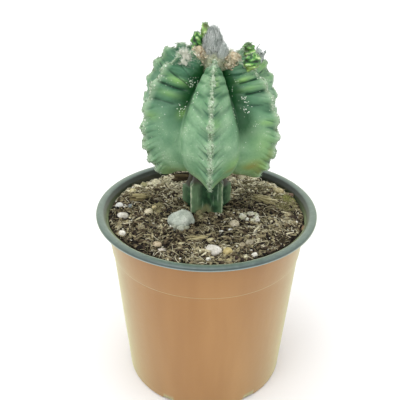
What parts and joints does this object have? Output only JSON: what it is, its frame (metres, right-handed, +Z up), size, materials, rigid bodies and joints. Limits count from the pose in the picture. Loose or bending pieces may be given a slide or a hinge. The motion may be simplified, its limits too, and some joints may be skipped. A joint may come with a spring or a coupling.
{
  "type": "potted bishop's cap cactus",
  "caption": "Ribbed bishop's cap cactus head with buds and pups, grafted on a slim cactus stock in a filled plastic nursery pot.",
  "frame": {"origin": "centre of the pot's base, on the surface that the pot stands on", "axes": "+Z up, -Y the front, which is the side with the rib that faces the picture's camera"},
  "size_m": [0.12, 0.12, 0.2018],
  "materials": {
    "terracotta_plastic": "satin",
    "potting_mix": "rough, loose and fibrous",
    "stock_skin": "waxy satin",
    "head_skin": "waxy satin",
    "areole_wool": "woolly",
    "bud_wool": "woolly",
    "dried_petal": "papery",
    "offset_skin": "waxy satin",
    "pumice": "rough, porous",
    "pebble": "dull",
    "bark": "rough"
  },
  "bodies": {
    "root": {"pot": "terracotta_plastic", "soil": "potting_mix", "rootstock": "stock_skin", "cactus_head": "head_skin", "crown_wool": "areole_wool", "wool_tuft_left": "areole_wool", "flower_bud_large": "bud_wool", "flower_bud_small": "bud_wool", "offset_left_dark": "offset_skin", "offset_left_pale": "offset_skin", "offset_right_front": "offset_skin", "offset_right_back": "offset_skin", "withered_flower_left": "dried_petal", "withered_flower_right": "dried_petal", "withered_flower_back": "dried_petal", "pumice_large": "pumice", "pumice_front": "pumice", "pumice_left": "pumice", "pumice_far_left": "pumice", "pumice_near_left": "pumice", "perlite_a": "pumice", "perlite_b": "pumice", "perlite_c": "pumice", "perlite_front": "pumice", "pebble_round": "pebble", "pebble_tan": "pebble", "pebble_wedge": "pebble", "pebble_cream": "pebble", "pebble_beige": "pebble", "pebble_ochre": "pebble", "pebble_lime": "pebble", "pebble_orange": "pebble", "bark_right": "bark", "bark_left": "bark", "bark_front": "bark", "bark_rim": "bark", "bark_back": "bark"}
  },
  "joints": []
}
